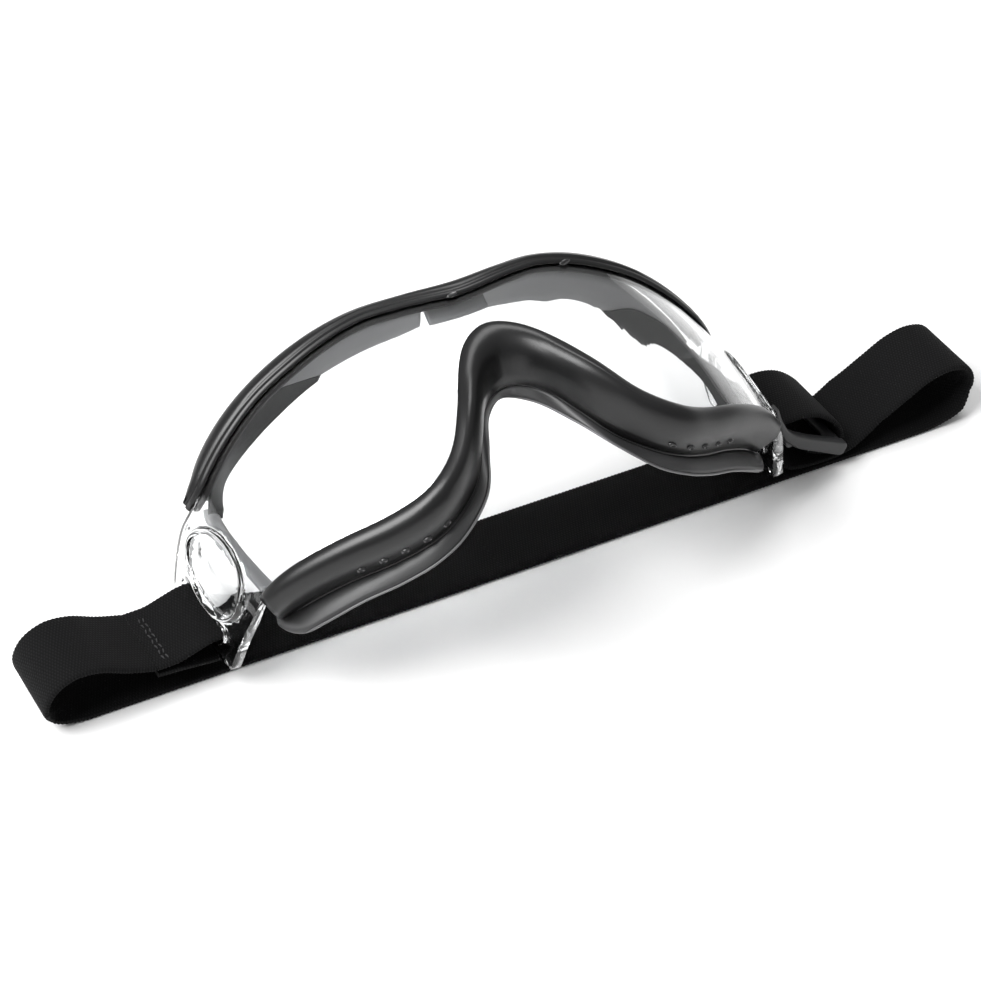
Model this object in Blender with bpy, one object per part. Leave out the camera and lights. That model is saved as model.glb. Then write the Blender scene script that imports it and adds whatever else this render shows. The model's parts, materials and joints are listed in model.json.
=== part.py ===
"""Sports protective goggles lying lens up on their own strap.

Metres, +Z up. X runs across the face, +Y points to the brow and +Z is the way the wearer looks.
The strap lies on the ground plane, Z = 0, and the middle plane of the goggles is X = 0.
"""

import math

import bpy
import bmesh
import numpy as np
from mathutils import Matrix, Vector

MM = 0.001

# Driving dimensions, in millimetres.
LENS_THICK = 2.2
LUG_THICK = 3.1
LENS_IN_RIM = 2.4
FIT_GAP = 0.3
LENS_COLUMNS = 81
LENS_ROWS = 8
FACE_CENTRE = np.array([0, 5, 20.0])
LOWER_RIM_END = 78.2
BROW_RIM_END = 81.6
RIM_WALL = 3.0
BROW_RIM_DEEP = 5.6
SKIRT_THICK = 1.3
STRAP_WIDTH = 24.0
STRAP_THICK = 1.5
STRAP_SKEW = -0.016
SLOT_HALF_LENGTH = 13.2
SLOT_LOW_Z = 12.2
SLOT_HIGH_Z = 17.0
BOSS_CENTRE = (82.6, -3.0, 28.6)
BOSS_HALF_AXES = (14.6, 8.4)
BOSS_RIB = 1.3
SLIDER_HALF_WIDTH = 16.4
SLIDER_RAIL = 3.0
SLIDER_BAR_RADIUS = 1.7
SLIDER_INNER_BAR = (90.4, 15.8)
SLIDER_OUTER_BAR = (107.4, 8.2)
SLIDER_SIDE_LINE = [(84.3, 30.5), (85.9, 25), (88.8, 19.4), (93.5, 15.2), (100, 11.6), (109.2, 6.8)]
LEFT_LUG_BAR = (-85.0, 0.0, 10.4)

# Rails of the right half, from the middle plane to the temple. The left half mirrors them.
LENS_LOWER = [
    (0, 0, 79.8), (8, -4, 79.2), (14, -12, 78), (20, -23, 75.7), (27, -33, 70.6), (36, -38, 65.5),
    (46, -36, 59), (58, -31.5, 52.5), (68, -27, 45.5), (74, -24.5, 40), (78, -23, 34.5),
]
RIM_BACK = [
    (0, -11, 67), (8, -15, 66), (14, -24, 63), (21, -34.5, 58.5), (30, -40, 54), (37, -41, 50.5),
    (46, -38, 45), (57, -32.5, 38.5), (66, -28, 32), (70, -25.5, 28), (73, -23.5, 25),
]
SKIRT_EDGE = [
    (0, -9, 61.5), (6.5, -14, 61.5), (13, -26, 60.5), (20, -38.5, 57.5), (29, -43.5, 51),
    (37, -44.5, 46.5), (46, -42, 41), (56, -38, 35.5), (65, -34.5, 29.5), (71, -31.5, 25),
    (75.5, -25.5, 23),
]
LENS_UPPER = [
    (0, 14, 80.5), (14, 17, 79.5), (29, 20.5, 76.5), (44, 20.5, 70.5), (58, 20, 62),
    (68, 18, 53.5), (75, 16, 45.5), (80, 14, 38.5),
]
BROW_OUTER = [
    (0, 19.6, 81.4), (14, 22, 80.2), (28, 25.8, 77), (42, 27, 72), (56, 27, 64), (67, 25.5, 55.5),
    (75, 23, 47), (81.5, 18.5, 38),
]
BROW_SKIRT_TOP = [
    (9, 20, 74.5), (28, 24.5, 70.5), (44, 26, 64), (59, 25, 54.5), (71, 21, 42), (76.5, 15, 33.5),
    (77.5, 1, 33), (75, -17, 31),
]
BROW_SKIRT_EDGE = [
    (8.5, 22, 66.5), (26.5, 25.5, 61), (42.5, 26.5, 54.5), (57, 26.5, 44.5), (67.5, 25.5, 33.5),
    (72, 17, 30.5), (72.5, 1, 30.5), (69.5, -18, 28),
]
BROW_SKIRT_SHARE = 0.69
LUG_LOWER = [(80.8, -24, 30), (83, -22, 23), (85, -19.8, 15), (86.4, -18.4, 8.6)]
LUG_UPPER = [(82, 16.5, 33.5), (83.6, 18.5, 27), (85.4, 19, 17), (86.7, 18.5, 8.6)]

# The strap's centre lines, seen along Y, as (x, z). It is one band on the real goggles, and it is
# cut here where it crosses a joint.
STRAP_SPLIT_LEFT = -116.0
STRAP_SPLIT_RIGHT = 128.0
BAND_LINE = [(STRAP_SPLIT_LEFT, 0.75), (-40, 0.75), (40, 0.75), (STRAP_SPLIT_RIGHT, 0.75)]
LEFT_LOOP_LINE = [
    (-104.6, 11.2), (-112, 13.8), (-120, 17.4), (-127, 18), (-133, 14.8), (-135.6, 9), (-133, 3.4),
    (-126, 1), (STRAP_SPLIT_LEFT - FIT_GAP, 0.75),
]
RIGHT_LOOP_LINE = [
    (STRAP_SPLIT_RIGHT + FIT_GAP, 0.75), (143, 1.2), (152, 4.4), (156.6, 10.4), (154.8, 16.2),
    (148.5, 18.6), (141, 17.4), (133, 13.2), (125, 8.8), (117, 5.4), (110, 3), (102, 2.7),
    (94, 3.6), (90.6, 5.3),
]
LEFT_END_LINE = [
    (-104.2, 8.9), (-98, 8.3), (-92, 7.2), (-88.2, 6.6), (-84.8, 6.6), (-81.2, 10), (-83.8, 14),
    (-88, 14.3), (-93, 12.9), (-98, 11.4), (-104.2, 11.2),
]
RIGHT_END_LINE = [
    (90.2, 5.5), (87.4, 6.4), (84.8, 6.6), (81.2, 10), (83.8, 14), (86.9, 15.4), (87.8, 18.2),
    (89.8, 19.8), (95.4, 20.4), (101.4, 19), (106.6, 15.4), (110.2, 11), (110.8, 7.6), (108.2, 5.1),
    (103.2, 5.7), (98.8, 7.4),
]


def smooth_line(points, count):
    """count points evenly spread along a smooth curve through the given ones."""
    known = np.array(points, float)
    steps = np.sqrt(np.linalg.norm(np.diff(known, axis=0), axis=1))
    knots = np.concatenate([[0], np.cumsum(steps)])
    slopes = np.gradient(known, knots, axis=0)
    dense = np.linspace(0, knots[-1], 40 * len(known))
    span = np.clip(np.searchsorted(knots, dense, side="right") - 1, 0, len(known) - 2)
    width = knots[span + 1] - knots[span]
    u = ((dense - knots[span]) / width)[:, None]
    width = width[:, None]
    line = (
        (2 * u**3 - 3 * u**2 + 1) * known[span]
        + (u**3 - 2 * u**2 + u) * width * slopes[span]
        + (3 * u**2 - 2 * u**3) * known[span + 1]
        + (u**3 - u**2) * width * slopes[span + 1]
    )
    return resample(line, count)


def resample(line, count):
    along = np.concatenate([[0], np.cumsum(np.linalg.norm(np.diff(line, axis=0), axis=1))])
    at = np.linspace(0, along[-1], count)
    return np.stack([np.interp(at, along, line[:, k]) for k in range(line.shape[1])], axis=1)


def both_sides(half):
    """A rail of the right half made whole: mirrored, then running from left to right."""
    left = np.array(half, float)[:0:-1] * (-1, 1, 1)
    return np.concatenate([left, np.array(half, float)])


def matched_rails(rails, count):
    """Rails whose points correspond, with new points at the same shares of the first one."""
    stacked = np.concatenate([both_sides(rail) for rail in rails], axis=1)
    joined = smooth_line(stacked, 8 * count)
    along = np.linalg.norm(np.diff(joined[:, :3], axis=0), axis=1)
    along = np.concatenate([[0], np.cumsum(along)])
    at = np.linspace(0, along[-1], count)
    columns = [np.interp(at, along, joined[:, k]) for k in range(joined.shape[1])]
    joined = np.stack(columns, axis=1)
    return [joined[:, 3 * k:3 * k + 3] for k in range(len(rails))]


def unit(vectors):
    return vectors / np.maximum(np.linalg.norm(vectors, axis=-1, keepdims=True), 1e-9)


def at_x(rail, wanted):
    """Points of a whole rail at the given x values."""
    dense = smooth_line(both_sides(rail), 600)
    columns = [np.interp(wanted, dense[:, 0], dense[:, k]) for k in (1, 2)]
    return np.stack([np.asarray(wanted, float), *columns], axis=1)


def material(name, colour, roughness, transmission=0.0):
    made = bpy.data.materials.new(name)
    made.use_nodes = True
    shader = made.node_tree.nodes["Principled BSDF"]
    shader.inputs["Base Color"].default_value = (*colour, 1)
    shader.inputs["Roughness"].default_value = roughness
    shader.inputs["Transmission Weight"].default_value = transmission
    made.diffuse_color = (*colour, 1)
    return made


def add_object(name, points, faces, look, smooth=True):
    """A closed mesh object from points in millimetres."""
    mesh = bpy.data.meshes.new(name)
    mesh.from_pydata([Vector(p) * MM for p in np.asarray(points, float)], [], faces)
    edit = bmesh.new()
    edit.from_mesh(mesh)
    bmesh.ops.recalc_face_normals(edit, faces=edit.faces)
    edit.to_mesh(mesh)
    edit.free()
    mesh.polygons.foreach_set("use_smooth", [smooth] * len(mesh.polygons))
    made = bpy.data.objects.new(name, mesh)
    bpy.context.scene.collection.objects.link(made)
    if look is not None:
        mesh.materials.append(look)
    return made


def loft(name, rings, look, smooth=True):
    """A solid through rings of the same length, closed with a flat face at each end."""
    rings = np.asarray(rings, float)
    rows, around = rings.shape[:2]
    faces = []
    for i in range(rows - 1):
        for j in range(around):
            k = (j + 1) % around
            faces.append((i * around + j, i * around + k, (i + 1) * around + k, (i + 1) * around + j))
    faces.append(tuple(range(around)))
    faces.append(tuple(range((rows - 1) * around, rows * around)))
    return add_object(name, rings.reshape(-1, 3), faces, look, smooth)


def boolean(target, cutter, operation):
    """Applies one exact Boolean and removes the cutter."""
    step = target.modifiers.new(operation.lower(), "BOOLEAN")
    step.operation = operation
    step.solver = "EXACT"
    step.object = cutter
    graph = bpy.context.evaluated_depsgraph_get()
    mesh = bpy.data.meshes.new_from_object(target.evaluated_get(graph))
    target.modifiers.clear()
    old = target.data
    target.data = mesh
    bpy.data.meshes.remove(old)
    bpy.data.objects.remove(cutter)


def lens_edges(count):
    """The visible lens edges, lower and upper, with the strap lugs at both ends."""
    upper_half = at_x(LENS_UPPER, [p[0] for p in LENS_LOWER])
    lower = list(LENS_LOWER) + list(LUG_LOWER)
    upper = [tuple(p) for p in upper_half] + list(LUG_UPPER)
    return matched_rails([lower, upper], count)


def lens_front(lower, upper, rows):
    """Front face of the lens as a grid: bowed forward between its two edges."""
    share = np.linspace(0, 1, rows)[None, :, None]
    flat = lower[:, None] * (1 - share) + upper[:, None] * share
    height = np.linalg.norm(upper - lower, axis=1)[:, None, None]
    bow = 4 * share * (1 - share) * 2.4 * (height / 58) ** 2
    return flat + unit(flat - FACE_CENTRE) * bow


def grid_normals(grid):
    """Normals of the lens face, pointing away from the wearer."""
    normals = unit(np.cross(np.gradient(grid, axis=0), np.gradient(grid, axis=1)))
    ahead = np.sum(normals * (grid - FACE_CENTRE), axis=2, keepdims=True)
    return normals * np.where(ahead < 0, -1.0, 1.0)


class LensShape:
    """The lens face and, along both of its edges, the way out of the lens and its front normal."""

    def __init__(self):
        self.lower, self.upper = lens_edges(LENS_COLUMNS)
        self.front = lens_front(self.lower, self.upper, LENS_ROWS)
        self.normals = grid_normals(self.front)
        self.lower_out = self.way_out(self.front[:, 0], self.front[:, 1], self.normals[:, 0])
        self.upper_out = self.way_out(self.front[:, -1], self.front[:, -2], self.normals[:, -1])

    @staticmethod
    def way_out(edge, inner, normal):
        tangent = unit(np.gradient(edge, axis=0))
        out = unit(np.cross(tangent, normal))
        flip = np.where(np.sum(out * (edge - inner), axis=1, keepdims=True) < 0, -1.0, 1.0)
        return out * flip


def rails_at(rails, wanted):
    """Points of several matched rails where the first one has the given x values."""
    stacked = np.concatenate([both_sides(rail) for rail in rails], axis=1)
    dense = smooth_line(stacked, 900)
    columns = [np.interp(wanted, dense[:, 0], dense[:, k]) for k in range(dense.shape[1])]
    joined = np.stack(columns, axis=1)
    return [joined[:, 3 * k:3 * k + 3] for k in range(len(rails))]


def temple_fade(x, start, end):
    """1 in the middle of the goggles, falling to 0 between two distances from the middle plane."""
    return np.clip((end - np.abs(x)) / (end - start), 0, 1)


def lug_slot_cutter(side):
    low, high = SLOT_LOW_Z, SLOT_HIGH_Z
    radius = (high - low) / 2
    outline = []
    for turn in range(12):
        angle = math.radians(-90 + turn * 180 / 11)
        outline.append((SLOT_HALF_LENGTH - radius + radius * math.cos(angle),
                        (low + high) / 2 + radius * math.sin(angle)))
    for turn in range(12):
        angle = math.radians(90 + turn * 180 / 11)
        outline.append((-SLOT_HALF_LENGTH + radius + radius * math.cos(angle),
                        (low + high) / 2 + radius * math.sin(angle)))
    rings = [[(side * x, y, z) for y, z in outline] for x in (76, 96)]
    return loft("slot_cutter", rings, None)


def boss_ring(lens, side):
    """The raised oval rib on a lug, laid on the lens face."""
    flat = lens.front.reshape(-1, 3)
    normals = lens.normals.reshape(-1, 3)
    on_side = np.sign(flat[:, 0]) == side
    flat, normals = flat[on_side], normals[on_side]
    down = unit(np.array([side * 0.27, 0, -1.0]))
    centre = np.array(BOSS_CENTRE) * (side, 1, 1)
    rings = []
    for turn in range(32):
        angle = 2 * math.pi * turn / 32
        spot = (centre + np.array([0, BOSS_HALF_AXES[0] * math.cos(angle), 0])
                + down * BOSS_HALF_AXES[1] * math.sin(angle) * 1.2)
        gaps = np.linalg.norm(flat - spot, axis=1)
        near = np.argsort(gaps)[:4]
        weight = 1 / (gaps[near] + 0.1)
        normal = unit((normals[near] * weight[:, None]).sum(0))
        level = ((flat[near] - spot) @ normal * weight).sum() / weight.sum()
        spot = spot + normal * level
        outward = np.array([0, math.cos(angle) * BOSS_HALF_AXES[1], 0])
        outward = unit(outward + down * math.sin(angle) * BOSS_HALF_AXES[0])
        section = [(-BOSS_RIB, -0.9), (-BOSS_RIB * 0.6, 0.9), (0, 1.3), (BOSS_RIB * 0.6, 0.9),
                   (BOSS_RIB, -0.9)]
        rings.append([spot + outward * a + normal * b for a, b in section])
    rings = np.array(rings)
    around = rings.shape[1]
    faces = []
    for i in range(len(rings)):
        after = (i + 1) % len(rings)
        for j in range(around):
            k = (j + 1) % around
            faces.append((i * around + j, i * around + k, after * around + k, after * around + j))
    return add_object("boss_ring", rings.reshape(-1, 3), faces, None)


def build_lens(lens, look):
    """The clear shield with both lugs: its front face, its back face and the edges held by rims."""
    fade = temple_fade(lens.lower[:, 0], 74, 79)
    reach = 0.25 + (LENS_IN_RIM - 0.25) * fade[:, None]
    low = lens.lower + lens.lower_out * reach
    high = lens.upper + lens.upper_out * reach
    front = np.concatenate([low[:, None], lens.front, high[:, None]], axis=1)
    normals = np.concatenate([lens.normals[:, :1], lens.normals, lens.normals[:, -1:]], axis=1)
    thick = LENS_THICK + (LUG_THICK - LENS_THICK) * (1 - temple_fade(lens.lower[:, 0], 79, 83))
    back = front - normals * thick[:, None, None]
    rings = np.concatenate([front, back[:, ::-1]], axis=1)
    shield = loft("lens_shield", rings, look)
    for side in (-1, 1):
        boolean(shield, boss_ring(lens, side), "UNION")
        boolean(shield, lug_slot_cutter(side), "DIFFERENCE")


def build_lower_rim(lens, look):
    """Black moulded rim under the lens and over the nose, with a groove that holds the lens."""
    held = np.abs(lens.lower[:, 0]) < LOWER_RIM_END
    lower, away, front = lens.lower[held], lens.lower_out[held], lens.normals[held, 0]
    _, back = rails_at([LENS_LOWER, RIM_BACK], lower[:, 0])
    depth = unit(back - lower)
    out = unit(np.cross(np.cross(depth, away), depth))
    inner = back - out * RIM_WALL
    shelf = -LENS_THICK - FIT_GAP
    deep = LENS_IN_RIM + FIT_GAP
    rings = []
    for i in range(len(lower)):
        a, n, f = lower[i], away[i], front[i]
        crest = a + n * 3.6 + f * 1.6
        swell = out[i] * 2.2 + f * 0.8
        root = a + n * (deep + 0.6) + f * (shelf - 2.2)
        rings.append([
            a - n * 0.5 + f * FIT_GAP,
            a - n * 0.2 + f * 0.9,
            a + n * 1.2 + f * 1.5,
            crest,
            crest * 0.68 + back[i] * 0.32 + swell,
            crest * 0.36 + back[i] * 0.64 + swell * 0.75,
            back[i] + out[i] * 0.2,
            inner[i],
            inner[i] * 0.5 + root * 0.5,
            root,
            a - n * 0.5 + f * (shelf - 1.2),
            a - n * 0.5 + f * shelf,
            a + n * deep + f * shelf,
            a + n * deep + f * FIT_GAP,
        ])
    return loft("lower_rim", rings, look)


def build_lower_skirt(lens, look):
    """Soft face skirt under the lower rim, flared where it meets the cheeks and the nose."""
    held = np.abs(lens.lower[:, 0]) < LOWER_RIM_END
    lower, away = lens.lower[held], lens.lower_out[held]
    _, back, edge = rails_at([LENS_LOWER, RIM_BACK, SKIRT_EDGE], lower[:, 0])
    depth = unit(back - lower)
    out = unit(np.cross(np.cross(depth, away), depth))
    flare = unit(edge - back)
    side = unit(np.cross(np.cross(flare, out), flare))
    tip = np.clip((LOWER_RIM_END - np.abs(lower[:, 0])) / 7, 0, 1)
    reach = (0.35 + 0.65 * np.sqrt(1 - (1 - tip) ** 2))[:, None]
    edge = back + (edge - back) * reach
    rings = []
    for i in range(len(lower)):
        tucked = back[i] - out[i] * (RIM_WALL + FIT_GAP) - depth[i] * 3
        turn = back[i] - out[i] * 0.4 + depth[i] * FIT_GAP * 1.5
        hidden = back[i] - out[i] * (RIM_WALL + FIT_GAP) + depth[i] * FIT_GAP * 1.5
        middle = back[i] * 0.5 + edge[i] * 0.5
        rings.append([
            tucked,
            hidden,
            turn,
            middle + side[i] * 0.3,
            edge[i],
            edge[i] - side[i] * SKIRT_THICK * 0.8,
            middle - side[i] * SKIRT_THICK,
            hidden - out[i] * SKIRT_THICK + depth[i] * SKIRT_THICK,
            tucked - out[i] * SKIRT_THICK,
        ])
    return loft("lower_face_skirt", rings, look)


def build_brow_rim(lens, look):
    """Black moulded rim over the brow: a lip on the lens, a groove, a bead and an outer flange."""
    held = np.abs(lens.upper[:, 0]) < BROW_RIM_END
    upper, away, front = lens.upper[held], lens.upper_out[held], lens.normals[held, -1]
    outer = at_x(BROW_OUTER, upper[:, 0])
    shelf = -LENS_THICK - FIT_GAP
    deep = LENS_IN_RIM + FIT_GAP
    rings = []
    for i in range(len(upper)):
        a, n, f, far = upper[i], away[i], front[i], outer[i]
        rings.append([
            a - n * 0.5 + f * FIT_GAP,
            a - n * 0.2 + f * 1.0,
            a + n * 1.0 + f * 1.4,
            a + n * 1.7 + f * 0.8,
            a + n * 2.7 + f * 1.6,
            far * 0.75 + a * 0.25 + f * 0.8,
            far,
            far - f * 2.8 + n * 0.3,
            far - f * BROW_RIM_DEEP,
            far - f * BROW_RIM_DEEP - n * 1.8,
            a + n * (deep + 0.8) + f * (shelf - 1.2),
            a - n * 0.5 + f * (shelf - 1.2),
            a - n * 0.5 + f * shelf,
            a + n * deep + f * shelf,
            a + n * deep + f * FIT_GAP,
        ])
    return loft("brow_rim", rings, look)


def skirt_panel(name, top, bottom, look):
    """A soft wall between two lines, with a rounded free edge."""
    tangent = unit(np.gradient(top, axis=0))
    drop = unit(bottom - top)
    face = unit(np.cross(tangent, drop))
    rings = []
    for i in range(len(top)):
        middle = top[i] * 0.5 + bottom[i] * 0.5
        half = face[i] * SKIRT_THICK / 2
        rings.append([
            top[i] + half,
            middle + half + face[i] * 0.5,
            bottom[i] - drop[i] * 0.5 + half,
            bottom[i],
            bottom[i] - drop[i] * 0.5 - half,
            middle - half + face[i] * 0.5,
            top[i] - half,
        ])
    return loft(name, rings, look)


def build_brow_skirts(side, side_name, look):
    """One half of the brow skirt and, past a small gap, the side wall that ends at the lower rim."""
    both = np.concatenate([BROW_SKIRT_TOP, BROW_SKIRT_EDGE], axis=1)
    line = smooth_line(both, 60) * (side, 1, 1, side, 1, 1)
    cut = int(BROW_SKIRT_SHARE * len(line))
    brow, wall = line[:cut], line[cut:]
    wall[0] += (wall[1] - wall[0]) * 0.2
    skirt_panel("brow_skirt_" + side_name, brow[:, :3], brow[:, 3:], look)
    skirt_panel("side_skirt_" + side_name, wall[:, :3], wall[:, 3:], look)


def build_centre_skirt(lens, look):
    """The short step of the brow skirt over the nose."""
    chosen = np.abs(lens.upper[:, 0]) <= 9
    upper, away, front = lens.upper[chosen], lens.upper_out[chosen], lens.normals[chosen, -1]
    outer = at_x(BROW_OUTER, upper[:, 0])
    top = resample(outer - front * (BROW_RIM_DEEP + FIT_GAP + 0.2) - away * 1.3, 9)
    skirt_panel("brow_skirt_centre", top, top + np.array([0, -4.4, -3.4]), look)


def ribbon(name, line, look, count):
    """A flat strap of even thickness along a line seen from the side."""
    path = smooth_line(line, count)
    along = unit(np.gradient(path, axis=0))
    up = np.stack([-along[:, 1], along[:, 0]], axis=1)
    rings = []
    for point, normal in zip(path, up):
        ring = []
        for y, lift in ((-1, -0.35), (-0.985, -0.5), (0.985, -0.5), (1, -0.35),
                        (1, 0.35), (0.985, 0.5), (-0.985, 0.5), (-1, 0.35)):
            x, z = point + normal * lift * STRAP_THICK
            skew = STRAP_SKEW * x * min(1, max(0, (8 - z) / 4))
            ring.append((x, y * STRAP_WIDTH / 2 + skew, z))
        rings.append(ring)
    return loft(name, rings, look)


def stitch_row(name, line, share, look):
    """A thin sewn row across the strap, at a share of the strap line's length."""
    path = smooth_line(line, 200)
    along = unit(np.gradient(path, axis=0))
    spot = int(share * 199)
    ahead = along[spot]
    up = np.array([-ahead[1], ahead[0]])
    base = path[spot] + up * (STRAP_THICK / 2 + 0.15)
    rings = []
    for y in (-10.5, 10.5):
        ring = []
        for a, b in ((-0.5, 0), (-0.35, 0.35), (0.35, 0.35), (0.5, 0)):
            x, z = base + ahead * a + up * b
            ring.append((x, y, z))
        rings.append(ring)
    return loft(name, rings, look, smooth=False)


def slider_rail(side, look):
    """One side of the slider, thin at the lug and thick at its outer end."""
    line = smooth_line(SLIDER_SIDE_LINE, 22)
    along = unit(np.gradient(line, axis=0))
    up = np.stack([-along[:, 1], along[:, 0]], axis=1)
    half = np.interp(np.linspace(0, 1, len(line)), [0, 0.3, 0.5, 1], [0.7, 1.3, 2.1, 2.3])
    inner = side * (SLIDER_HALF_WIDTH - SLIDER_RAIL)
    outer = side * SLIDER_HALF_WIDTH
    rings = []
    for (x, z), (up_x, up_z), thick in zip(line, up, half):
        ring = []
        for y, lift in ((inner, -thick), (inner, thick), (outer * 0.985, thick),
                        (outer, thick - 0.4), (outer, 0.4 - thick), (outer * 0.985, -thick)):
            ring.append((x + up_x * lift, y, z + up_z * lift))
        rings.append(ring)
    return loft("slider_rail", rings, look)


def cross_bar(centre, radius, reach, look):
    rings = []
    for y in (-reach, reach):
        ring = []
        for turn in range(16):
            angle = 2 * math.pi * turn / 16
            ring.append((centre[0] + radius * math.cos(angle), y, centre[1] + radius * math.sin(angle)))
        rings.append(ring)
    return loft("cross_bar", rings, look)


def build_slider(look):
    """The tri-glide slider: two side rails joined by two round bars."""
    slider = slider_rail(-1, look)
    slider.name = "strap_slider"
    slider.data.name = "strap_slider"
    reach = SLIDER_HALF_WIDTH - 1
    boolean(slider, cross_bar(SLIDER_OUTER_BAR, SLIDER_BAR_RADIUS, reach, look), "UNION")
    boolean(slider, cross_bar(SLIDER_INNER_BAR, SLIDER_BAR_RADIUS - 0.1, reach, look), "UNION")
    boolean(slider, slider_rail(1, look), "UNION")
    return slider


def put_origin(pieces, place):
    """Moves the origins of these objects to a place in millimetres, leaving their shapes where they are."""
    shift = Vector(place) * MM
    for piece in pieces:
        piece.data.transform(Matrix.Translation(-shift))
        piece.location = shift


def clear_scene():
    for old in list(bpy.data.objects):
        bpy.data.objects.remove(old)


clear_scene()
clear_plastic = material("clear_polycarbonate", (0.92, 0.95, 0.97), 0.04, 1.0)
rim_rubber = material("black_rim_rubber", (0.018, 0.018, 0.02), 0.38)
skirt_rubber = material("grey_skirt_rubber", (0.11, 0.11, 0.115), 0.5)
webbing = material("black_webbing", (0.012, 0.012, 0.013), 0.9)
thread = material("stitching_thread", (0.03, 0.03, 0.032), 0.8)
slider_plastic = material("grey_slider_plastic", (0.06, 0.062, 0.066), 0.45)

lens_shape = LensShape()
build_lens(lens_shape, clear_plastic)
build_lower_rim(lens_shape, rim_rubber)
build_brow_rim(lens_shape, rim_rubber)
build_lower_skirt(lens_shape, skirt_rubber)
build_brow_skirts(-1, "left", skirt_rubber)
build_brow_skirts(1, "right", skirt_rubber)
build_centre_skirt(lens_shape, skirt_rubber)
ribbon("strap_band", BAND_LINE, webbing, 24)
ribbon("strap_end_right", RIGHT_END_LINE, webbing, 52)
left_strap = [
    ribbon("strap_end_left", LEFT_END_LINE, webbing, 40),
    ribbon("strap_loop_left", LEFT_LOOP_LINE, webbing, 40),
    stitch_row("stitch_row_left", LEFT_END_LINE[::-1], 0.055, thread),
]
put_origin(left_strap, LEFT_LUG_BAR)
right_strap = [
    ribbon("strap_loop_right", RIGHT_LOOP_LINE, webbing, 52),
    stitch_row("stitch_row_right", RIGHT_END_LINE[::-1], 0.045, thread),
    build_slider(slider_plastic),
]
put_origin(right_strap, (SLIDER_INNER_BAR[0], 0, SLIDER_INNER_BAR[1]))
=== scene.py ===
"""Looks of the sports protective goggles: clear shield, rubber rims, face skirts and woven strap.

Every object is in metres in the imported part's frame. X runs across the face, +Y points to the brow
and +Z is the way the wearer looks. The goggles lie on their strap, on the floor at Z = 0.
"""

import json
import math

import bmesh
import bpy
import numpy as np
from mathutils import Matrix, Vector
from mathutils.bvhtree import BVHTree

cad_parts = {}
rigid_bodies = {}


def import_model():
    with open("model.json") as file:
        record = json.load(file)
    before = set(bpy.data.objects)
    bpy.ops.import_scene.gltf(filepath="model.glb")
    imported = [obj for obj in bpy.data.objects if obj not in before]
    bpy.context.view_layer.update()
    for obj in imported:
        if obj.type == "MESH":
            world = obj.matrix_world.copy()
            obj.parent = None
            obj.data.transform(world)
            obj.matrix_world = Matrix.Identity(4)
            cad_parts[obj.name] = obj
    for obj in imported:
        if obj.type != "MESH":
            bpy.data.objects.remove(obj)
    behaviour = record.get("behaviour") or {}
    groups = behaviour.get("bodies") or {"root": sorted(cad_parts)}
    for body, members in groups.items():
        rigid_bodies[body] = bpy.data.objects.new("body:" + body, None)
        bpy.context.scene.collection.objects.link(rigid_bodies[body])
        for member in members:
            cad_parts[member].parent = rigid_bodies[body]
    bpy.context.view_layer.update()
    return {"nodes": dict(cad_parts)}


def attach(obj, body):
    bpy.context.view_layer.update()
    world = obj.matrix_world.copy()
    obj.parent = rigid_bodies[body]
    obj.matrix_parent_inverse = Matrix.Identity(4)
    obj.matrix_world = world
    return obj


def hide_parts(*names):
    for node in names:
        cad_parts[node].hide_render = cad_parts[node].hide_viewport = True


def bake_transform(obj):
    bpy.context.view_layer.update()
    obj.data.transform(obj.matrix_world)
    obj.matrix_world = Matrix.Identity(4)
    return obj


MM = 0.001

# The strap, in millimetres: its section, its weave and its centre lines seen along Y, as (x, z).
STRAP_WIDTH = 24.0
STRAP_THICK = 1.5
STRAP_SKEW = -0.016
STRAP_STEP = 0.3
SELVEDGE_PITCH = 1.15
STRAP_CUT_LEFT = -116.0
STRAP_CUT_RIGHT = 128.0
TABLE_LEFT_LINE = [(0, 0.75), (-60, 0.75), (STRAP_CUT_LEFT, 0.75)]
TABLE_RIGHT_LINE = [(0, 0.75), (60, 0.75), (STRAP_CUT_RIGHT, 0.75)]
LEFT_LOOP_LINE = [
    (STRAP_CUT_LEFT, 0.75), (-126, 1), (-133, 3.4), (-135.6, 9), (-133, 14.8), (-127, 18),
    (-120, 17.4), (-112, 13.8), (-104.6, 11.2),
]
RIGHT_LOOP_LINE = [
    (STRAP_CUT_RIGHT, 0.75), (143, 1.2), (152, 4.4), (156.6, 10.4), (154.8, 16.2), (148.5, 18.6),
    (141, 17.4), (133, 13.2), (125, 8.8), (117, 5.4), (110, 3), (102, 2.7), (94, 3.6), (90.6, 5.3),
]
LEFT_END_LINE = [
    (-104.2, 8.9), (-98, 8.3), (-92, 7.2), (-88.2, 6.6), (-84.8, 6.6), (-81.2, 10), (-83.8, 14),
    (-88, 14.3), (-93, 12.9), (-98, 11.4), (-104.2, 11.2),
]
RIGHT_END_LINE = [
    (90.2, 5.5), (87.4, 6.4), (84.8, 6.6), (81.2, 10), (83.8, 14), (86.9, 15.4), (87.8, 18.2),
    (89.8, 19.8), (95.4, 20.4), (101.4, 19), (106.6, 15.4), (110.2, 11), (110.8, 7.6), (108.2, 5.1),
    (103.2, 5.7), (98.8, 7.4),
]

# The slider, in millimetres.
SLIDER_SIDE_LINE = [(84.3, 30.5), (85.9, 25), (88.8, 19.4), (93.5, 15.2), (100, 11.6), (109.2, 6.8)]
SLIDER_HALF_WIDTH = 16.4
SLIDER_RAIL = 3.0
SLIDER_INNER_BAR = (90.4, 15.8)
SLIDER_OUTER_BAR = (107.4, 8.2)
SLIDER_BAR_RADIUS = 1.7

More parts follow.
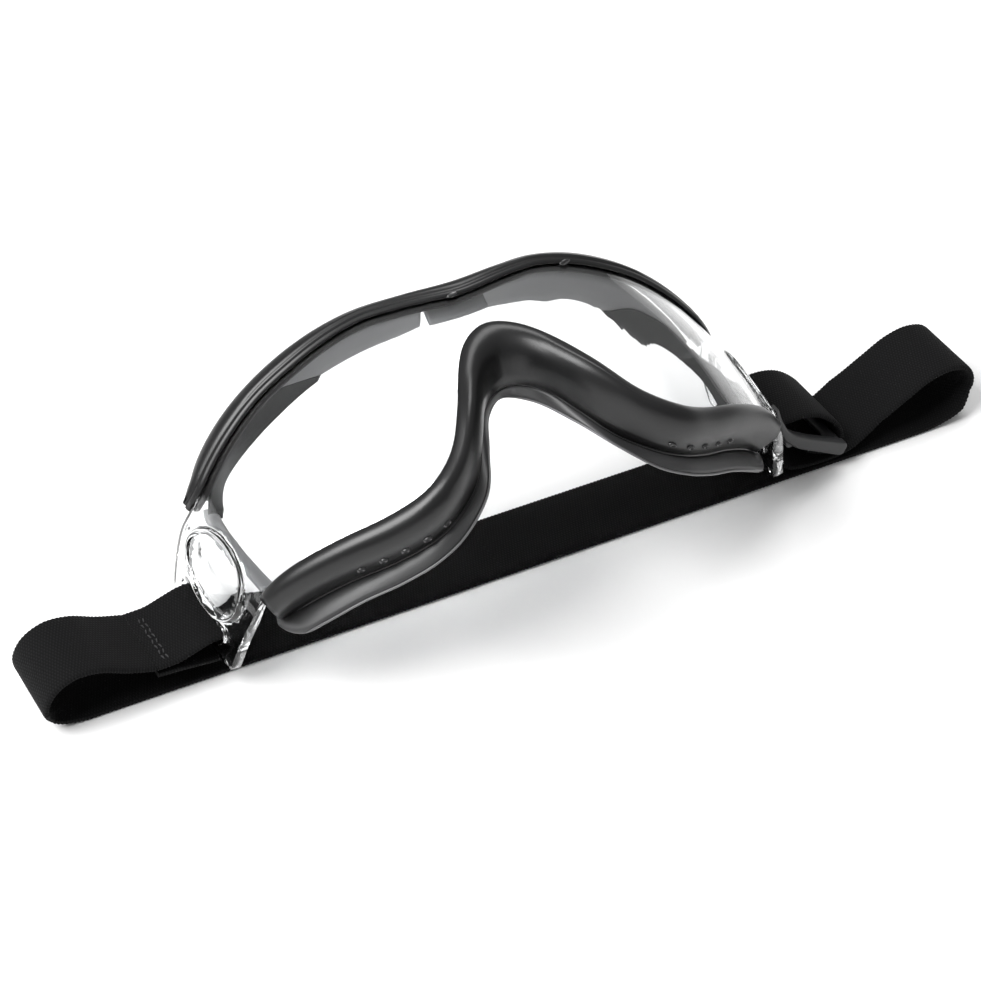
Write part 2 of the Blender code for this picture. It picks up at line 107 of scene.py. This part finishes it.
# The brow skirt's lines, in millimetres, on the right half: where it leaves the rim, and its free edge.
BROW_SKIRT_TOP = [
    (9, 20, 74.5), (28, 24.5, 70.5), (44, 26, 64), (59, 25, 54.5), (71, 21, 42), (76.5, 15, 33.5),
    (77.5, 1, 33), (75, -17, 31),
]
BROW_SKIRT_EDGE = [
    (8.5, 22, 66.5), (26.5, 25.5, 61), (42.5, 26.5, 54.5), (57, 26.5, 44.5), (67.5, 25.5, 33.5),
    (72, 17, 30.5), (72.5, 1, 30.5), (69.5, -18, 28),
]
# The temple lips are coloured as painted shade: the inward-turned face of each brow skirt, darkened where it
# is in shade.
# Each temple lip: its side, its name, the x where it begins, the x where it covers the skirt, and the y
# down to which it runs.
TEMPLE_LIPS = ((-1, "temple_lip_painted_shade_left", 36.0, 52.0, 14.0), (1, "temple_lip_painted_shade_right", 51.0, 71.0, -17.5))
LIP_STAND = 0.95
LIP_REACH = 0.9
LIP_REACH_RUN = 14.0
LIP_THICK = 0.5

# The free edge of the lower skirt and the foot of the lower rim, in millimetres, on the right half.
SKIRT_EDGE = [
    (0, -9, 61.5), (6.5, -14, 61.5), (13, -26, 60.5), (20, -38.5, 57.5), (29, -43.5, 51),
    (37, -44.5, 46.5), (46, -42, 41), (56, -38, 35.5), (65, -34.5, 29.5), (70, -32, 25.8),
]
RIM_FOOT = [
    (0, -11, 67), (8, -15, 66), (14, -24, 63), (21, -34.5, 58.5), (30, -40, 54), (37, -41, 50.5),
    (46, -38, 45), (57, -32.5, 38.5), (66, -28, 32), (70, -25.5, 28),
]
BEAD_RADIUS = 0.33
BEAD_SIDES = 10

# Small features of the rims, in millimetres: the vents on the right half, the pips where they are.
VENT_LINE = [(33.5, -42, 56), (44.5, -40.5, 50.5), (55.5, -36, 45)]
VENT_COUNT = 5
OVAL_SIDES = 18
VENT_SIZE = (1.05, 0.6)
PIP_PLACES = [(-2.5, 14, 81.5), (35.5, 20.5, 75)]
PIP_SIZE = (1.8, 0.8)

# The camera, and the studio around it.
CAMERA_PLACE = (-0.29399, -0.55064, 0.54636)
CAMERA_AZIMUTH = 28.22
CAMERA_ELEVATION = 40.0
CAMERA_LENS = 108.24


# ---------------------------------------------------------------- materials

def new_material(name, colour, roughness):
    """A Principled material, with its node tree and its shader."""
    made = bpy.data.materials.new(name)
    made.use_nodes = True
    made.diffuse_color = (*colour, 1)
    tree = made.node_tree
    shader = tree.nodes["Principled BSDF"]
    shader.inputs["Base Color"].default_value = (*colour, 1)
    shader.inputs["Roughness"].default_value = roughness
    return made, tree, shader


def add_node(tree, kind, settings=None, **inputs):
    """A node with its own settings, and its inputs set to numbers or linked to sockets."""
    node = tree.nodes.new(kind)
    for name, value in (settings or {}).items():
        setattr(node, name, value)
    for name, value in inputs.items():
        socket = node.inputs[int(name[1:])] if name[1:].isdigit() else node.inputs[name.replace("_", " ")]
        if isinstance(value, bpy.types.NodeSocket):
            tree.links.new(value, socket)
        else:
            socket.default_value = value
    return node


def maths(tree, operation, a, b=0.0):
    return add_node(tree, "ShaderNodeMath", {"operation": operation}, i0=a, i1=b).outputs[0]


def noise(tree, scale, detail=3.0):
    place = add_node(tree, "ShaderNodeTexCoord").outputs["Object"]
    return add_node(tree, "ShaderNodeTexNoise", None, Vector=place, Scale=scale, Detail=detail).outputs["Fac"]


def ramp(tree, factor, low, high, start=0.3, end=0.7):
    """A colour that runs between two others as the factor rises."""
    node = add_node(tree, "ShaderNodeValToRGB", None, Fac=factor)
    node.color_ramp.elements[0].position = start
    node.color_ramp.elements[0].color = (*low, 1)
    node.color_ramp.elements[1].position = end
    node.color_ramp.elements[1].color = (*high, 1)
    return node.outputs["Color"]


def spread(tree, factor, low, high):
    node = add_node(tree, "ShaderNodeMapRange", None, Value=factor, To_Min=low, To_Max=high)
    return node.outputs["Result"]


def bump(tree, shader, height, strength, distance):
    node = add_node(tree, "ShaderNodeBump", None, Height=height, Strength=strength, Distance=distance)
    tree.links.new(node.outputs["Normal"], shader.inputs["Normal"])


def rubber(name, dark, light, rough_low, rough_high, grain=1400.0, shine=0.35):
    """Moulded rubber: a faint cloudiness in colour and shine, over a fine matt grain."""
    made, tree, shader = new_material(name, dark, (rough_low + rough_high) / 2)
    cloud = noise(tree, 60.0)
    tree.links.new(ramp(tree, cloud, dark, light), shader.inputs["Base Color"])
    tree.links.new(spread(tree, noise(tree, 160.0), rough_low, rough_high), shader.inputs["Roughness"])
    bump(tree, shader, noise(tree, grain, 2.0), 0.25, 0.00006)
    shader.inputs["Specular IOR Level"].default_value = shine
    return made


def clear_plastic():
    """Polished polycarbonate, with the very slight waviness of a moulding."""
    made, tree, shader = new_material("clear_polycarbonate", (0.975, 0.985, 0.99), 0.015)
    shader.inputs["Transmission Weight"].default_value = 1.0
    shader.inputs["IOR"].default_value = 1.58
    tint = ramp(tree, noise(tree, 18.0), (0.965, 0.978, 0.984), (0.985, 0.992, 0.995))
    tree.links.new(tint, shader.inputs["Base Color"])
    bump(tree, shader, noise(tree, 70.0, 1.0), 0.12, 0.00008)
    return made


def webbing():
    """Woven elastic: weft ribs across the strap, broken by the warp cords that run along it."""
    made, tree, shader = new_material("black_webbing", (0.012, 0.012, 0.013), 0.86)
    uv = add_node(tree, "ShaderNodeUVMap", {"uv_map": "strap"}).outputs["UV"]
    axes = add_node(tree, "ShaderNodeSeparateXYZ", None, Vector=uv).outputs
    cord = maths(tree, "MULTIPLY", axes["Y"], 1 / 0.95)
    step = maths(tree, "MULTIPLY", maths(tree, "FLOOR", cord), 0.5)
    along = maths(tree, "ADD", maths(tree, "MULTIPLY", axes["X"], 1 / 0.85), step)
    weft = maths(tree, "SINE", maths(tree, "MULTIPLY", along, 2 * math.pi))
    warp = maths(tree, "ABSOLUTE", maths(tree, "SINE", maths(tree, "MULTIPLY", cord, math.pi)))
    weft = maths(tree, "MULTIPLY", maths(tree, "ADD", weft, 1.0), 0.5)
    height = maths(tree, "MULTIPLY", weft, warp)
    fuzz = maths(tree, "MULTIPLY", noise(tree, 2600.0, 2.0), 0.35)
    height = maths(tree, "ADD", height, fuzz)
    # The weave's colour follows its height: lighter on the raised ribs and darker in the hollows, a painted
    # highlight and shade over the black yarn; the fine fuzz is random tone.
    shade = ramp(tree, height, (0.0014, 0.0014, 0.0015), (0.0075, 0.0075, 0.008), 0.15, 1.1)
    tree.links.new(shade, shader.inputs["Base Color"])
    bump(tree, shader, height, 0.5, 0.0002)
    shader.inputs["Sheen Weight"].default_value = 0.015
    shader.inputs["Sheen Roughness"].default_value = 0.5
    shader.inputs["Specular IOR Level"].default_value = 0.12
    return made


def slider_plastic():
    made, tree, shader = new_material("grey_slider_plastic", (0.028, 0.0285, 0.03), 0.4)
    cloud = noise(tree, 90.0)
    shade = ramp(tree, cloud, (0.012, 0.0123, 0.013), (0.017, 0.0174, 0.0184))
    tree.links.new(shade, shader.inputs["Base Color"])
    tree.links.new(spread(tree, noise(tree, 300.0), 0.34, 0.46), shader.inputs["Roughness"])
    bump(tree, shader, noise(tree, 1800.0, 2.0), 0.2, 0.00005)
    return made


# ---------------------------------------------------------------- mesh helpers

def add_mesh(name, points, faces, look, smooth=True):
    mesh = bpy.data.meshes.new(name)
    mesh.from_pydata([tuple(p) for p in np.asarray(points, float)], [], faces)
    edit = bmesh.new()
    edit.from_mesh(mesh)
    bmesh.ops.recalc_face_normals(edit, faces=edit.faces)
    edit.to_mesh(mesh)
    edit.free()
    mesh.polygons.foreach_set("use_smooth", [smooth] * len(mesh.polygons))
    mesh.set_sharp_from_angle(angle=math.radians(50))
    mesh.materials.append(look)
    made = bpy.data.objects.new(name, mesh)
    bpy.context.scene.collection.objects.link(made)
    return made


def tube_faces(rows, around):
    """The faces of a closed tube made of rings of points, with a cap at each end."""
    faces = []
    for i in range(rows - 1):
        for j in range(around):
            k = (j + 1) % around
            faces.append((i * around + j, i * around + k, (i + 1) * around + k, (i + 1) * around + j))
    faces.append(tuple(range(around)))
    faces.append(tuple(range((rows - 1) * around, rows * around)))
    return faces


def smooth_line(points, step):
    """Points evenly spread along a smooth curve through the given ones, and the length at each."""
    known = np.array(points, float)
    spacing = np.sqrt(np.linalg.norm(np.diff(known, axis=0), axis=1))
    knots = np.concatenate([[0], np.cumsum(spacing)])
    slopes = np.gradient(known, knots, axis=0)
    dense = np.linspace(0, knots[-1], 60 * len(known))
    span = np.clip(np.searchsorted(knots, dense, side="right") - 1, 0, len(known) - 2)
    width = knots[span + 1] - knots[span]
    u = ((dense - knots[span]) / width)[:, None]
    width = width[:, None]
    line = (
        (2 * u**3 - 3 * u**2 + 1) * known[span]
        + (u**3 - 2 * u**2 + u) * width * slopes[span]
        + (3 * u**2 - 2 * u**3) * known[span + 1]
        + (u**3 - u**2) * width * slopes[span + 1]
    )
    run = np.concatenate([[0], np.cumsum(np.linalg.norm(np.diff(line, axis=0), axis=1))])
    at = np.linspace(0, run[-1], max(2, int(round(run[-1] / step)) + 1))
    return np.stack([np.interp(at, run, line[:, k]) for k in range(line.shape[1])], axis=1), at


def smooth_copy(node, name, look, levels, crease_angle=50.0):
    """A finer, smoother mesh of a CAD node: welded, made of quads again and subdivided."""
    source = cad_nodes[node]
    mesh = source.data.copy()
    made = bpy.data.objects.new(name, mesh)
    bpy.context.scene.collection.objects.link(made)
    edit = bmesh.new()
    edit.from_mesh(mesh)
    bmesh.ops.remove_doubles(edit, verts=edit.verts, dist=2e-6)
    bmesh.ops.join_triangles(edit, faces=edit.faces, angle_face_threshold=math.radians(25),
                             angle_shape_threshold=math.radians(60))
    crease = edit.edges.layers.float.new("crease_edge")
    for edge in edit.edges:
        if edge.is_manifold and edge.calc_face_angle() > math.radians(crease_angle):
            edge[crease] = 0.75
    edit.to_mesh(mesh)
    edit.free()
    mesh.materials.clear()
    mesh.materials.append(look)
    mesh.polygons.foreach_set("use_smooth", [True] * len(mesh.polygons))
    if levels:
        step = made.modifiers.new("subdivide", "SUBSURF")
        step.levels = levels
        step.render_levels = levels
        apply_modifiers(made)
    return made


def apply_modifiers(piece):
    graph = bpy.context.evaluated_depsgraph_get()
    mesh = bpy.data.meshes.new_from_object(piece.evaluated_get(graph))
    piece.modifiers.clear()
    piece.data = mesh


# ---------------------------------------------------------------- the strap

def strap_section(along):
    """The strap's outline at one place along it, as (y, lift) in millimetres, with its ribbed selvedges."""
    rib = 0.5 + 0.5 * math.cos(2 * math.pi * along / SELVEDGE_PITCH)
    half_width = STRAP_WIDTH / 2 - 0.1 * (1 - rib)
    half_thick = STRAP_THICK / 2
    edge_thick = half_thick * (0.62 + 0.2 * rib)
    top = []
    for share in (1.0, 0.985, 0.955, 0.9, 0.75, 0.5, 0.25, 0.0):
        roll = min(1.0, (1 - share) / 0.1)
        thick = edge_thick * (1 - roll) + half_thick * roll
        if share == 1.0:
            thick = edge_thick * 0.55
        top.append((share * half_width, thick))
    right = top
    left = [(-y, thick) for y, thick in top[-2::-1]]
    upper = right + left
    lower = [(y, -thick) for y, thick in upper[::-1]]
    return upper + lower


def strap_piece(name, line, look, offset=0.0):
    """One stretch of woven strap along a line seen from the side."""
    path, lengths = smooth_line(line, STRAP_STEP)
    heading = np.gradient(path, axis=0)
    heading /= np.linalg.norm(heading, axis=1, keepdims=True)
    up = np.stack([-heading[:, 1], heading[:, 0]], axis=1)
    points = []
    sideways = []
    for (x, z), (up_x, up_z), along in zip(path, up, lengths + offset):
        for y, lift in strap_section(along):
            at_x, at_z = x + up_x * lift, z + up_z * lift
            skew = STRAP_SKEW * at_x * min(1, max(0, (8 - at_z) / 4))
            points.append((at_x, y + skew, at_z))
            sideways.append((along, y))
    around = len(strap_section(0))
    faces = tube_faces(len(path), around)
    made = add_mesh(name, np.array(points) * MM, faces, look)
    uv = made.data.uv_layers.new(name="strap")
    for loop in made.data.loops:
        uv.data[loop.index].uv = sideways[loop.vertex_index]
    return made, lengths[-1]


def stitch_rows(name, line, places, look, across=9.6, dash=1.5, gap=0.75):
    """Rows of sewn thread across the strap: short rounded dashes standing a little proud."""
    path, lengths = smooth_line(line, STRAP_STEP)
    heading = np.gradient(path, axis=0)
    heading /= np.linalg.norm(heading, axis=1, keepdims=True)
    points = []
    faces = []
    count = int(2 * across / (dash + gap))
    for place in places:
        spot = int(np.argmin(np.abs(lengths - place)))
        ahead = heading[spot]
        up = np.array([-ahead[1], ahead[0]])
        for n in range(count):
            y_start = -across + n * (dash + gap)
            slant = 0.35 if n % 2 else -0.35
            rows = []
            for k in range(7):
                share = k / 6
                y = y_start + share * dash
                swell = math.sin(math.pi * (0.08 + 0.84 * share))
                lift = STRAP_THICK / 2 - 0.12 + 0.3 * swell
                shift = slant * (share - 0.5)
                centre = path[spot] + up * lift + ahead * shift
                ring = []
                for turn in range(8):
                    angle = 2 * math.pi * turn / 8
                    radius = 0.22 * (0.35 + 0.65 * swell)
                    spot_xz = centre + up * radius * math.sin(angle) + ahead * radius * math.cos(angle)
                    ring.append((spot_xz[0], y, spot_xz[1]))
                rows.append(ring)
            first = len(points)
            points.extend(p for ring in rows for p in ring)
            faces.extend(tuple(first + v for v in face) for face in tube_faces(7, 8))
    return add_mesh(name, np.array(points) * MM, faces, look)


def build_strap(look, thread):
    """The whole strap, in stretches that meet edge to edge, and its sewn rows."""
    left_run, left_length = strap_piece("strap_run_left", TABLE_LEFT_LINE, look)
    right_run, right_length = strap_piece("strap_run_right", TABLE_RIGHT_LINE, look)
    left_loop, loop_length = strap_piece("strap_fold_left", LEFT_LOOP_LINE, look, left_length)
    right_loop, fold_length = strap_piece("strap_fold_right", RIGHT_LOOP_LINE, look, right_length)
    left_end, end_length = strap_piece("strap_hem_left", LEFT_END_LINE, look)
    right_end, tail_length = strap_piece("strap_tail_right", RIGHT_END_LINE, look)
    sheets = (
        (left_run, left_length, "laid", "strap_band"),
        (right_run, right_length, "laid", "strap_band"),
        (left_loop, loop_length, "folded", "strap_loop_left"),
        (right_loop, fold_length, "folded", "strap_loop_right"),
        (left_end, end_length, "folded", "strap_end_left"),
        (right_end, tail_length, "folded", "strap_end_right"),
    )
    for piece, length, held, node in sheets:
        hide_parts(node)
    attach(left_loop, "left_strap")
    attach(left_end, "left_strap")
    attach(right_loop, "slider")
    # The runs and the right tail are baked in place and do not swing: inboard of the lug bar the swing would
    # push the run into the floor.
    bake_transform(left_run)
    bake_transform(right_run)
    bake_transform(right_end)
    rows_left = stitch_rows("stitches_left", LEFT_END_LINE[::-1], (2.6, 3.9), thread)
    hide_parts("stitch_row_left")
    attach(rows_left, "left_strap")
    rows_right = stitch_rows("stitches_right", RIGHT_END_LINE[::-1], (2.2,), thread)
    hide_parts("stitch_row_right")
    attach(rows_right, "slider")


# ---------------------------------------------------------------- the slider

def rounded_box_ring(inner, outer, half, corner, steps=4):
    """A rectangle with round corners, as (y, lift): y between inner and outer, lift within half."""
    low, high = min(inner, outer), max(inner, outer)
    corner = min(corner, half * 0.9)
    ring = []
    for centre_y, centre_lift, start in (
        (high - corner, half - corner, 0), (low + corner, half - corner, 90),
        (low + corner, corner - half, 180), (high - corner, corner - half, 270),
    ):
        for k in range(steps + 1):
            angle = math.radians(start + 90 * k / steps)
            ring.append((centre_y + corner * math.cos(angle), centre_lift + corner * math.sin(angle)))
    return ring


def build_slider(look):
    """The slider: two bowed side rails with soft edges, and the two bars that the strap turns round."""
    path, _ = smooth_line(SLIDER_SIDE_LINE, 0.5)
    heading = np.gradient(path, axis=0)
    heading /= np.linalg.norm(heading, axis=1, keepdims=True)
    up = np.stack([-heading[:, 1], heading[:, 0]], axis=1)
    shares = np.linspace(0, 1, len(path))
    halves = np.interp(shares, [0, 0.3, 0.5, 1], [0.7, 1.3, 2.1, 2.3])
    end_round = np.minimum(1, np.minimum(shares, 1 - shares) / 0.03)
    halves = halves * (0.72 + 0.28 * np.sqrt(end_round))
    points = []
    faces = []
    for side in (-1, 1):
        first = len(points)
        for (x, z), (up_x, up_z), half in zip(path, up, halves):
            inner, outer = side * (SLIDER_HALF_WIDTH - SLIDER_RAIL), side * SLIDER_HALF_WIDTH
            ring = rounded_box_ring(inner, outer, half, 0.75)
            points.extend((x + up_x * lift, y, z + up_z * lift) for y, lift in ring)
        around = len(ring)
        faces.extend(tuple(first + v for v in face) for face in tube_faces(len(path), around))
    reach = SLIDER_HALF_WIDTH - 1
    bars = ((SLIDER_INNER_BAR, SLIDER_BAR_RADIUS - 0.1), (SLIDER_OUTER_BAR, SLIDER_BAR_RADIUS))
    for (x, z), radius in bars:
        first = len(points)
        for y in np.linspace(-reach, reach, 9):
            for turn in range(28):
                angle = 2 * math.pi * turn / 28
                points.append((x + radius * math.cos(angle), y, z + radius * math.sin(angle)))
        faces.extend(tuple(first + v for v in face) for face in tube_faces(9, 28))
    piece = add_mesh("slider_body", np.array(points) * MM, faces, look)
    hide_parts("strap_slider")
    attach(piece, "slider")


# ---------------------------------------------------------------- small features

def surface_of(node):
    """A search tree over the faces of one CAD node."""
    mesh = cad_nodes[node].data
    corners = [v.co.copy() for v in mesh.vertices]
    return BVHTree.FromPolygons(corners, [tuple(p.vertices) for p in mesh.polygons])


def oval_rings(hit, normal, way, size, profile):
    """Oval rings on a surface, for a dish or a dome: profile is (share of the size, height) pairs."""
    way = (way - normal * way.dot(normal)).normalized()
    across = normal.cross(way).normalized()
    points = []
    for grow, lift in profile:
        for turn in range(OVAL_SIDES):
            angle = 2 * math.pi * turn / OVAL_SIDES
            shift = way * size[0] * grow * math.cos(angle) + across * size[1] * grow * math.sin(angle)
            points.append(hit + (shift + normal * lift) * MM)
    return points


def build_vents(look):
    """Five small oval vents in a row under each eye, each a shallow dish with a raised edge."""
    surface = surface_of("lower_rim")
    path, _ = smooth_line(VENT_LINE, 0.2)
    chosen = np.linspace(0, len(path) - 1, VENT_COUNT).astype(int)
    profile = ((1.3, -0.1), (1.15, 0.32), (0.98, 0.5), (0.8, 0.38), (0.6, 0.1), (0.2, 0.02))
    for side, name in ((-1, "vents_left"), (1, "vents_right")):
        points = []
        faces = []
        for spot in chosen:
            hit, normal, _, _ = surface.find_nearest(Vector(path[spot] * (side, 1, 1)) * MM)
            ahead = path[min(spot + 2, len(path) - 1)] - path[max(spot - 2, 0)]
            first = len(points)
            points.extend(oval_rings(hit, normal, Vector(ahead * (side, 1, 1)), VENT_SIZE, profile))
            faces.extend(tuple(first + v for v in face) for face in tube_faces(len(profile), OVAL_SIDES))
        piece = add_mesh(name, points, faces, look)
        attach(piece, "goggles")


def build_pips(look):
    """The small moulded pips that stand in the brow rim's lip."""
    surface = surface_of("brow_rim")
    profile = ((1.0, -0.1), (0.98, 0.1), (0.85, 0.26), (0.6, 0.38), (0.3, 0.44))
    for number, place in enumerate(PIP_PLACES):
        hit, normal, _, _ = surface.find_nearest(Vector(place) * MM)
        points = oval_rings(hit, normal, Vector((1, 0.15, 0)), PIP_SIZE, profile)
        piece = add_mesh("brow_pip_%d" % (number + 1), points, tube_faces(len(profile), OVAL_SIDES), look)
        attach(piece, "goggles")


def bead(name, line, radius, look):
    """A thin round bead along a whole line, mirrored about the middle plane."""
    half = np.array(line, float)
    whole = np.concatenate([half[:0:-1] * (-1, 1, 1), half])
    path, _ = smooth_line(whole, 0.8)
    heading = np.gradient(path, axis=0)
    heading /= np.linalg.norm(heading, axis=1, keepdims=True)
    points = []
    for n, (centre, ahead) in enumerate(zip(path, heading)):
        taper = min(1.0, 0.3 + 0.7 * min(n, len(path) - 1 - n) / 6)
        first_way = np.cross(ahead, (0, 0.3, 1.0))
        first_way /= np.linalg.norm(first_way)
        second_way = np.cross(ahead, first_way)
        for turn in range(BEAD_SIDES):
            angle = 2 * math.pi * turn / BEAD_SIDES
            ring_way = first_way * math.cos(angle) + second_way * math.sin(angle)
            points.append(centre + ring_way * radius * taper)
    piece = add_mesh(name, np.array(points) * MM, tube_faces(len(path), BEAD_SIDES), look)
    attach(piece, "goggles")


def build_temple_lips(look):
    """The darker lip on the inside of each brow skirt, which widens towards the temple: its dark colour is
    painted shade on the skirt's inward-turned face.
    """
    both = np.concatenate([BROW_SKIRT_TOP, BROW_SKIRT_EDGE], axis=1)
    path, _ = smooth_line(both, 0.8)
    for side, name, begins, full, lowest in TEMPLE_LIPS:
        points = []
        start = int(np.argmax(path[:, 3] > begins))
        stop = start + int(np.argmax(path[start:, 4] < lowest))
        line = path[start:stop] * (side, 1, 1, side, 1, 1)
        cover = 0.0
        for n, row in enumerate(line):
            top, edge = row[:3], row[3:]
            cover = max(cover, min(1.0, (abs(edge[0]) - begins) / (full - begins)))
            swell = min(1.0, 0.1 + 6 * cover, 0.1 + (len(line) - 1 - n) / 6)
            reach = LIP_REACH * min(1.0, (abs(edge[0]) - begins) / LIP_REACH_RUN) - 0.2
            upper = edge + (top - edge) * (0.02 + 0.93 * cover)
            inward = -upper * (0.6, 1.0, 0.0)
            down = (edge - top) / np.linalg.norm(edge - top)
            inward = inward - down * np.dot(inward, down)
            inward /= np.linalg.norm(inward)
            near, far = inward * LIP_STAND * swell, inward * (LIP_STAND + LIP_THICK) * swell
            middle = upper * 0.5 + edge * 0.5
            points.extend([
                upper + near * 0.8, upper + far, middle + far * 1.25, edge + down * reach + far * 1.1,
                edge + down * (reach - 0.2) + near * 0.9, edge - down * 0.2 + near * 0.3, middle + near,
            ])
        piece = add_mesh(name, np.array(points) * MM, tube_faces(len(line), 7), look)
        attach(piece, "goggles")


# ---------------------------------------------------------------- the studio

def build_floor():
    bpy.ops.mesh.primitive_plane_add(size=6, location=(0, 0, -0.0002))
    floor = bpy.context.object
    floor.name = "floor"
    made, tree, shader = new_material("pale_floor", (0.93, 0.93, 0.93), 0.6)
    tree.links.new(ramp(tree, noise(tree, 4.0), (0.925, 0.925, 0.925), (0.94, 0.94, 0.94)),
                   shader.inputs["Base Color"])
    shader.inputs["Specular IOR Level"].default_value = 0.1
    floor.data.materials.append(made)


def add_softbox(name, place, target, size, power):
    light = bpy.data.lights.new(name, "AREA")
    light.shape = "RECTANGLE"
    light.size, light.size_y = size
    light.energy = power
    made = bpy.data.objects.new(name, light)
    made.location = place
    made.rotation_euler = (Vector(target) - Vector(place)).to_track_quat("-Z", "Y").to_euler()
    bpy.context.scene.collection.objects.link(made)


def build_studio():
    world = bpy.data.worlds.new("studio")
    world.use_nodes = True
    tree = world.node_tree
    place = add_node(tree, "ShaderNodeTexCoord").outputs["Generated"]
    height = add_node(tree, "ShaderNodeSeparateXYZ", None, Vector=place).outputs["Z"]
    sky = ramp(tree, height, (0.2, 0.2, 0.2), (0.48, 0.48, 0.48), 0.05, 0.9)
    tree.links.new(sky, tree.nodes["Background"].inputs["Color"])
    bpy.context.scene.world = world
    bpy.context.scene.view_settings.view_transform = "Standard"
    build_floor()
    add_softbox("left_softbox", (-0.86, 0, 1.0), (0, 0, 0.03), (0.8, 0.8), 24)
    add_softbox("back_softbox", (0.45, 0.4, 1.1), (0, 0, 0.03), (0.6, 0.5), 5)


def build_camera():
    data = bpy.data.cameras.new("camera")
    data.lens = CAMERA_LENS
    data.clip_end = 20
    made = bpy.data.objects.new("camera", data)
    made.location = CAMERA_PLACE
    made.rotation_euler = (math.radians(90 - CAMERA_ELEVATION), 0, math.radians(-CAMERA_AZIMUTH))
    bpy.context.scene.collection.objects.link(made)
    bpy.context.scene.camera = made


# ---------------------------------------------------------------- building

for old in list(bpy.data.objects):
    bpy.data.objects.remove(old)
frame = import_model()
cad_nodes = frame["nodes"]

rim_look = rubber("black_rim_rubber", (0.004, 0.004, 0.0043), (0.006, 0.006, 0.0064), 0.3, 0.38, shine=0.5)
# The brow and side skirts' base colour is painted light: raised far above the dark rubber's own tone to stand
# for the light that falls on their upper faces through the lens.
skirt_painted_light_look = rubber("grey_skirt_rubber", (0.32, 0.32, 0.326), (0.36, 0.36, 0.366), 0.42, 0.52)
lower_skirt_look = rubber("dark_skirt_rubber", (0.03, 0.03, 0.031), (0.04, 0.04, 0.041), 0.36, 0.46,
                          shine=0.6)
# The temple lip rubber is near black as painted shade, a shaded copy of the skirt rubber.
lip_painted_shade_look = rubber("temple_lip_painted_shade", (0.005, 0.005, 0.0053), (0.008, 0.008, 0.0085), 0.45, 0.55)
# The skirt bead rubber is lighter than the skirt rubber as a painted highlight along the lower skirt's free
# edge.
bead_painted_highlight_look = rubber("skirt_bead_painted_highlight", (0.1, 0.1, 0.103), (0.13, 0.13, 0.133), 0.25, 0.35, shine=0.6)
# The vent and pip rubber is lighter than the rim rubber as a painted glint on the vents and pips; its low
# roughness is real gloss.
vent_painted_glint_look = rubber("vent_rubber_painted_glint", (0.016, 0.016, 0.017), (0.03, 0.03, 0.031), 0.16, 0.24, shine=0.8)
lens_look = clear_plastic()
strap_look = webbing()
thread_look = rubber("stitching_thread", (0.02, 0.02, 0.021), (0.04, 0.04, 0.042), 0.6, 0.8, 2600.0)

for node, look, slot in (
    ("lens_shield", lens_look, "clear_polycarbonate"),
    ("lower_rim", rim_look, "rim_rubber"),
    ("brow_rim", rim_look, "rim_rubber"),
    ("lower_face_skirt", lower_skirt_look, "skirt_rubber"),
    ("brow_skirt_left", skirt_painted_light_look, "skirt_rubber"),
    ("brow_skirt_right", skirt_painted_light_look, "skirt_rubber"),
    ("brow_skirt_centre", skirt_painted_light_look, "skirt_rubber"),
    ("side_skirt_left", skirt_painted_light_look, "skirt_rubber"),
    ("side_skirt_right", skirt_painted_light_look, "skirt_rubber"),
):
    piece = smooth_copy(node, node + "_skin", look, 1)
    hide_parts(node)
    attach(piece, "goggles")

build_strap(strap_look, thread_look)
build_slider(slider_plastic())
build_vents(vent_painted_glint_look)
build_pips(vent_painted_glint_look)
# The lower skirt's bead carries a painted highlight; the rim foot's bead is plain rim rubber.
bead("lower_skirt_bead_painted_highlight", SKIRT_EDGE, BEAD_RADIUS, bead_painted_highlight_look)
bead("rim_foot_bead", RIM_FOOT, BEAD_RADIUS, rim_look)
build_temple_lips(lip_painted_shade_look)
build_studio()
build_camera()
